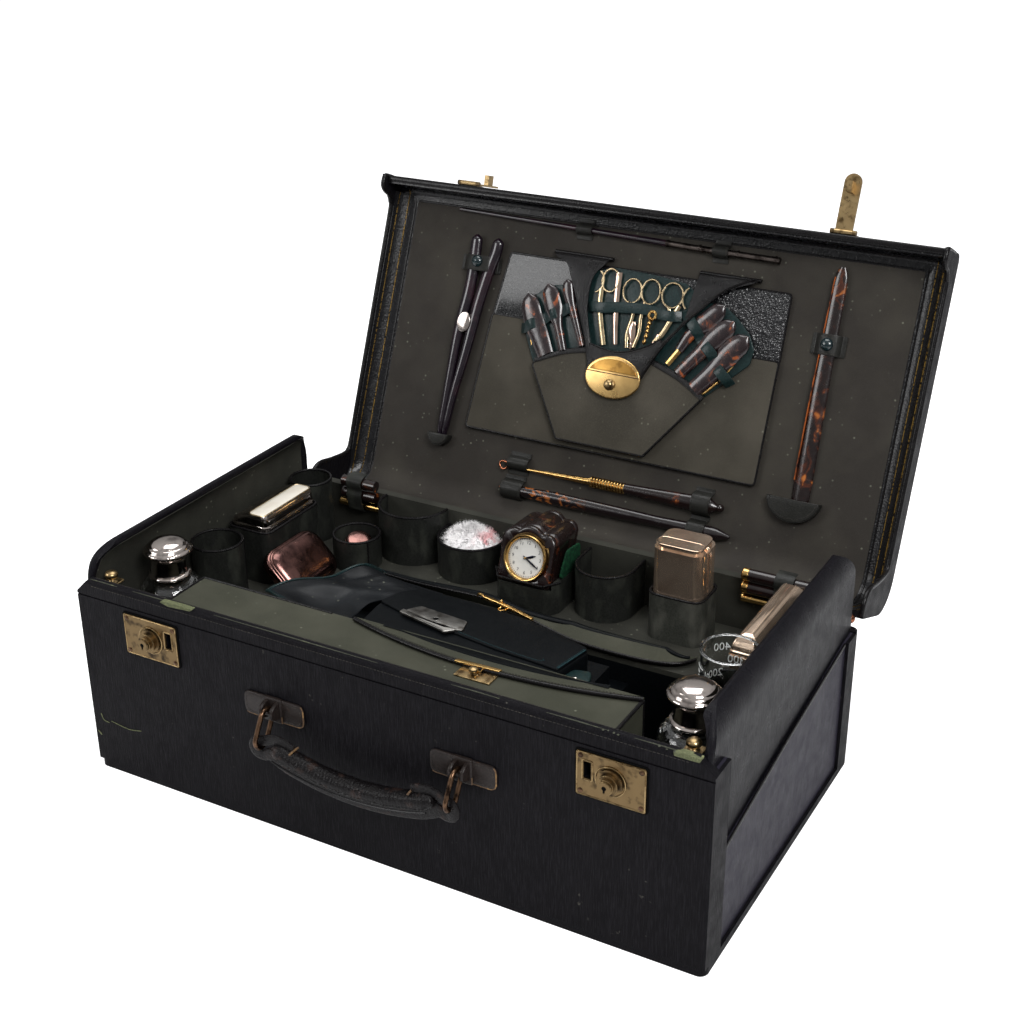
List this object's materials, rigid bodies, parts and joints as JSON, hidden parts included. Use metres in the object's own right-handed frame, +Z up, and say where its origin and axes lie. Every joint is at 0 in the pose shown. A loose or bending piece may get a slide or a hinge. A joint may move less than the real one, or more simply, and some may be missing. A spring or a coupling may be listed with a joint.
{
  "type": "vanity case",
  "caption": "Fitted travelling vanity case in black leather: hinged lid with manicure tools, lock hasps, swinging handle, and lined base with pockets, toilet bottles and a clock.",
  "frame": {"origin": "centre of the base's flat underside", "axes": "+X to the right seen from the front, +Y to the back where the hinge is, +Z up; the rest pose has the lid open as in the picture"},
  "size_m": [0.48, 0.4779, 0.3908],
  "materials": {
    "black_leather": "fine-grained glazed black leather",
    "glossy_leather": "glossy black leather with tooled lines",
    "olive_cloth": "olive watered silk and cloth",
    "green_leather": "dark green grained leather",
    "pocket_leather": "thin dull olive black leather",
    "brown_leather": "dark brown leather",
    "brass": "worn lacquered brass",
    "bronze": "dark bronze",
    "silver": "polished silver with a warm tarnish",
    "tortoiseshell": "polished tortoiseshell",
    "glass": "clear glass",
    "enamel": "white enamel dial in a gilt bezel",
    "blued_steel": "blued steel",
    "down": "white down with a pink tinge"
  },
  "bodies": {
    "case": {"bottom_board": "black_leather", "front_wall": "black_leather", "corner_wraps": "black_leather", "back_wall": "black_leather", "back_inner_wall": "olive_cloth", "end_wall_left": "black_leather", "end_wall_right": "black_leather", "end_lower_panels": "black_leather", "false_floor": "olive_cloth", "jewel_well": "olive_cloth", "front_compartment": "olive_cloth", "bottle_pockets": "pocket_leather", "side_pockets": "pocket_leather", "jar_pocket": "pocket_leather", "left_rear_pockets": "pocket_leather", "back_pockets": "pocket_leather", "round_pocket": "pocket_leather", "box_pocket": "pocket_leather", "long_case_pocket": "pocket_leather", "clock_stand": "pocket_leather", "lock_plates": "brass", "handle_chapes": "brown_leather", "brass_studs": "brass", "hinge_rod": "bronze", "vanity_tubes": "tortoiseshell", "tube_straps": "olive_cloth"},
    "lid": {"lid_shell": "black_leather", "lid_borders": "glossy_leather", "lid_brass": "brass", "document_pocket": "olive_cloth", "fan_wallet": "green_leather", "manicure_tools": "tortoiseshell", "lid_tools": "tortoiseshell", "tool_straps": "pocket_leather"},
    "hasp_left": {"hasp_left": "brass"},
    "hasp_right": {"hasp_right": "brass"},
    "lock_knob_left": {"lock_knob_left": "brass"},
    "lock_knob_right": {"lock_knob_right": "brass"},
    "handle_rings": {"handle_rings": "bronze"},
    "handle_grip": {"handle_grip": "black_leather"},
    "bottle_left": {"bottle_left": "glass"},
    "bottle_right": {"bottle_right": "glass"},
    "cap_left": {"cap_left": "silver"},
    "cap_right": {"cap_right": "silver"},
    "tumbler": {"tumbler": "glass"},
    "jar": {"jar": "glass"},
    "jar_lid": {"jar_lid": "silver"},
    "soap_case": {"silver_box": "silver", "silver_box_back": "silver"},
    "long_case": {"long_case": "silver"},
    "long_case_lid": {"long_case_lid": "silver"},
    "clock": {"clock_case": "tortoiseshell", "clock_dial": "enamel"},
    "clock_hour_hand": {"clock_hour_hand": "blued_steel"},
    "clock_minute_hand": {"clock_minute_hand": "blued_steel"},
    "powder_puff": {"powder_puff": "down"},
    "silver_brush": {"silver_brush": "silver"},
    "wallet": {"wallet": "black_leather"},
    "pouch_front_lip": {"pouch_front_lip": "black_leather"},
    "pouch_rear_lip": {"pouch_rear_lip": "black_leather"}
  },
  "joints": [
    {"name": "lid_hinge", "type": "hinge", "parent": "case", "child": "lid", "pos_m": [0, 0.1345, 0.116], "axis": [-1, 0, 0], "range_deg": [-112.4, 0]},
    {"name": "hasp_left_hinge", "type": "hinge", "parent": "lid", "child": "hasp_left", "pos_m": [-0.1595, 0.27716, 0.35086], "axis": [-1, 0, 0], "range_deg": [-174, 0]},
    {"name": "hasp_right_hinge", "type": "hinge", "parent": "lid", "child": "hasp_right", "pos_m": [0.1595, 0.27716, 0.35086], "axis": [-1, 0, 0], "range_deg": [-90, 84]},
    {"name": "lock_knob_left_slide", "type": "slide", "parent": "case", "child": "lock_knob_left", "axis": [-1, 0, 0], "range_m": [0, 0.004], "stiffness_N_per_m": 200},
    {"name": "lock_knob_right_slide", "type": "slide", "parent": "case", "child": "lock_knob_right", "axis": [1, 0, 0], "range_m": [0, 0.004], "stiffness_N_per_m": 200},
    {"name": "handle_swing", "type": "hinge", "parent": "case", "child": "handle_rings", "pos_m": [0, -0.1411, 0.099], "axis": [-1, 0, 0], "range_deg": [0, 100]},
    {"name": "grip_swing", "type": "hinge", "parent": "handle_rings", "child": "handle_grip", "pos_m": [0, -0.14965, 0.08419], "axis": [-1, 0, 0], "range_deg": [0, 28]},
    {"name": "bottle_left_lift", "type": "slide", "parent": "case", "child": "bottle_left", "axis": [0, 0, 1], "range_m": [0, 0.024]},
    {"name": "bottle_right_lift", "type": "slide", "parent": "case", "child": "bottle_right", "axis": [0, 0, 1], "range_m": [0, 0.024]},
    {"name": "cap_left_pull", "type": "slide", "parent": "bottle_left", "child": "cap_left", "axis": [0, 0, 1], "range_m": [0, 0.03]},
    {"name": "cap_right_pull", "type": "slide", "parent": "bottle_right", "child": "cap_right", "axis": [0, 0, 1], "range_m": [0, 0.03]},
    {"name": "tumbler_lift", "type": "slide", "parent": "case", "child": "tumbler", "axis": [0, 0, 1], "range_m": [0, 0.06]},
    {"name": "jar_lift", "type": "slide", "parent": "case", "child": "jar", "axis": [0, 0, 1], "range_m": [0, 0.06]},
    {"name": "jar_lid_lift", "type": "slide", "parent": "jar", "child": "jar_lid", "axis": [0, 0, 1], "range_m": [0, 0.03]},
    {"name": "soap_case_lift", "type": "slide", "parent": "case", "child": "soap_case", "axis": [0, 0, 1], "range_m": [0, 0.06]},
    {"name": "long_case_lift", "type": "slide", "parent": "case", "child": "long_case", "axis": [0, 0, 1], "range_m": [0, 0.05]},
    {"name": "long_case_lid_hinge", "type": "hinge", "parent": "long_case", "child": "long_case_lid", "pos_m": [0.19, 0.054, 0.14115], "axis": [0, -1, 0], "range_deg": [0, 100]},
    {"name": "clock_lift", "type": "slide", "parent": "case", "child": "clock", "axis": [0, 0, 1], "range_m": [0, 0.04]},
    {"name": "hour_hand_spin", "type": "hinge", "parent": "clock", "child": "clock_hour_hand", "pos_m": [0.004, 0.074, 0.136], "axis": [0, 0.9397, -0.342], "continuous": true},
    {"name": "minute_hand_spin", "type": "hinge", "parent": "clock", "child": "clock_minute_hand", "pos_m": [0.004, 0.074, 0.136], "axis": [0, 0.9397, -0.342], "continuous": true},
    {"name": "powder_puff_lift", "type": "slide", "parent": "case", "child": "powder_puff", "axis": [0, 0, 1], "range_m": [0, 0.05]},
    {"name": "silver_brush_lift", "type": "slide", "parent": "case", "child": "silver_brush", "axis": [0, 0, 1], "range_m": [0, 0.05]},
    {"name": "wallet_lift", "type": "slide", "parent": "case", "child": "wallet", "axis": [0, 0, 1], "range_m": [0, 0.06]},
    {"name": "pouch_front_lip_fold", "type": "hinge", "parent": "case", "child": "pouch_front_lip", "pos_m": [0.065, -0.0805, 0.1483], "axis": [-1, 0, 0], "range_deg": [0, 110]},
    {"name": "pouch_rear_lip_fold", "type": "hinge", "parent": "case", "child": "pouch_rear_lip", "pos_m": [0.005, 0.061, 0.0953], "axis": [-1, 0, 0], "range_deg": [0, 75]}
  ],
  "couplings": [
    {"joint": "hour_hand_spin", "follows": "minute_hand_spin", "ratio": 0.083333}
  ]
}
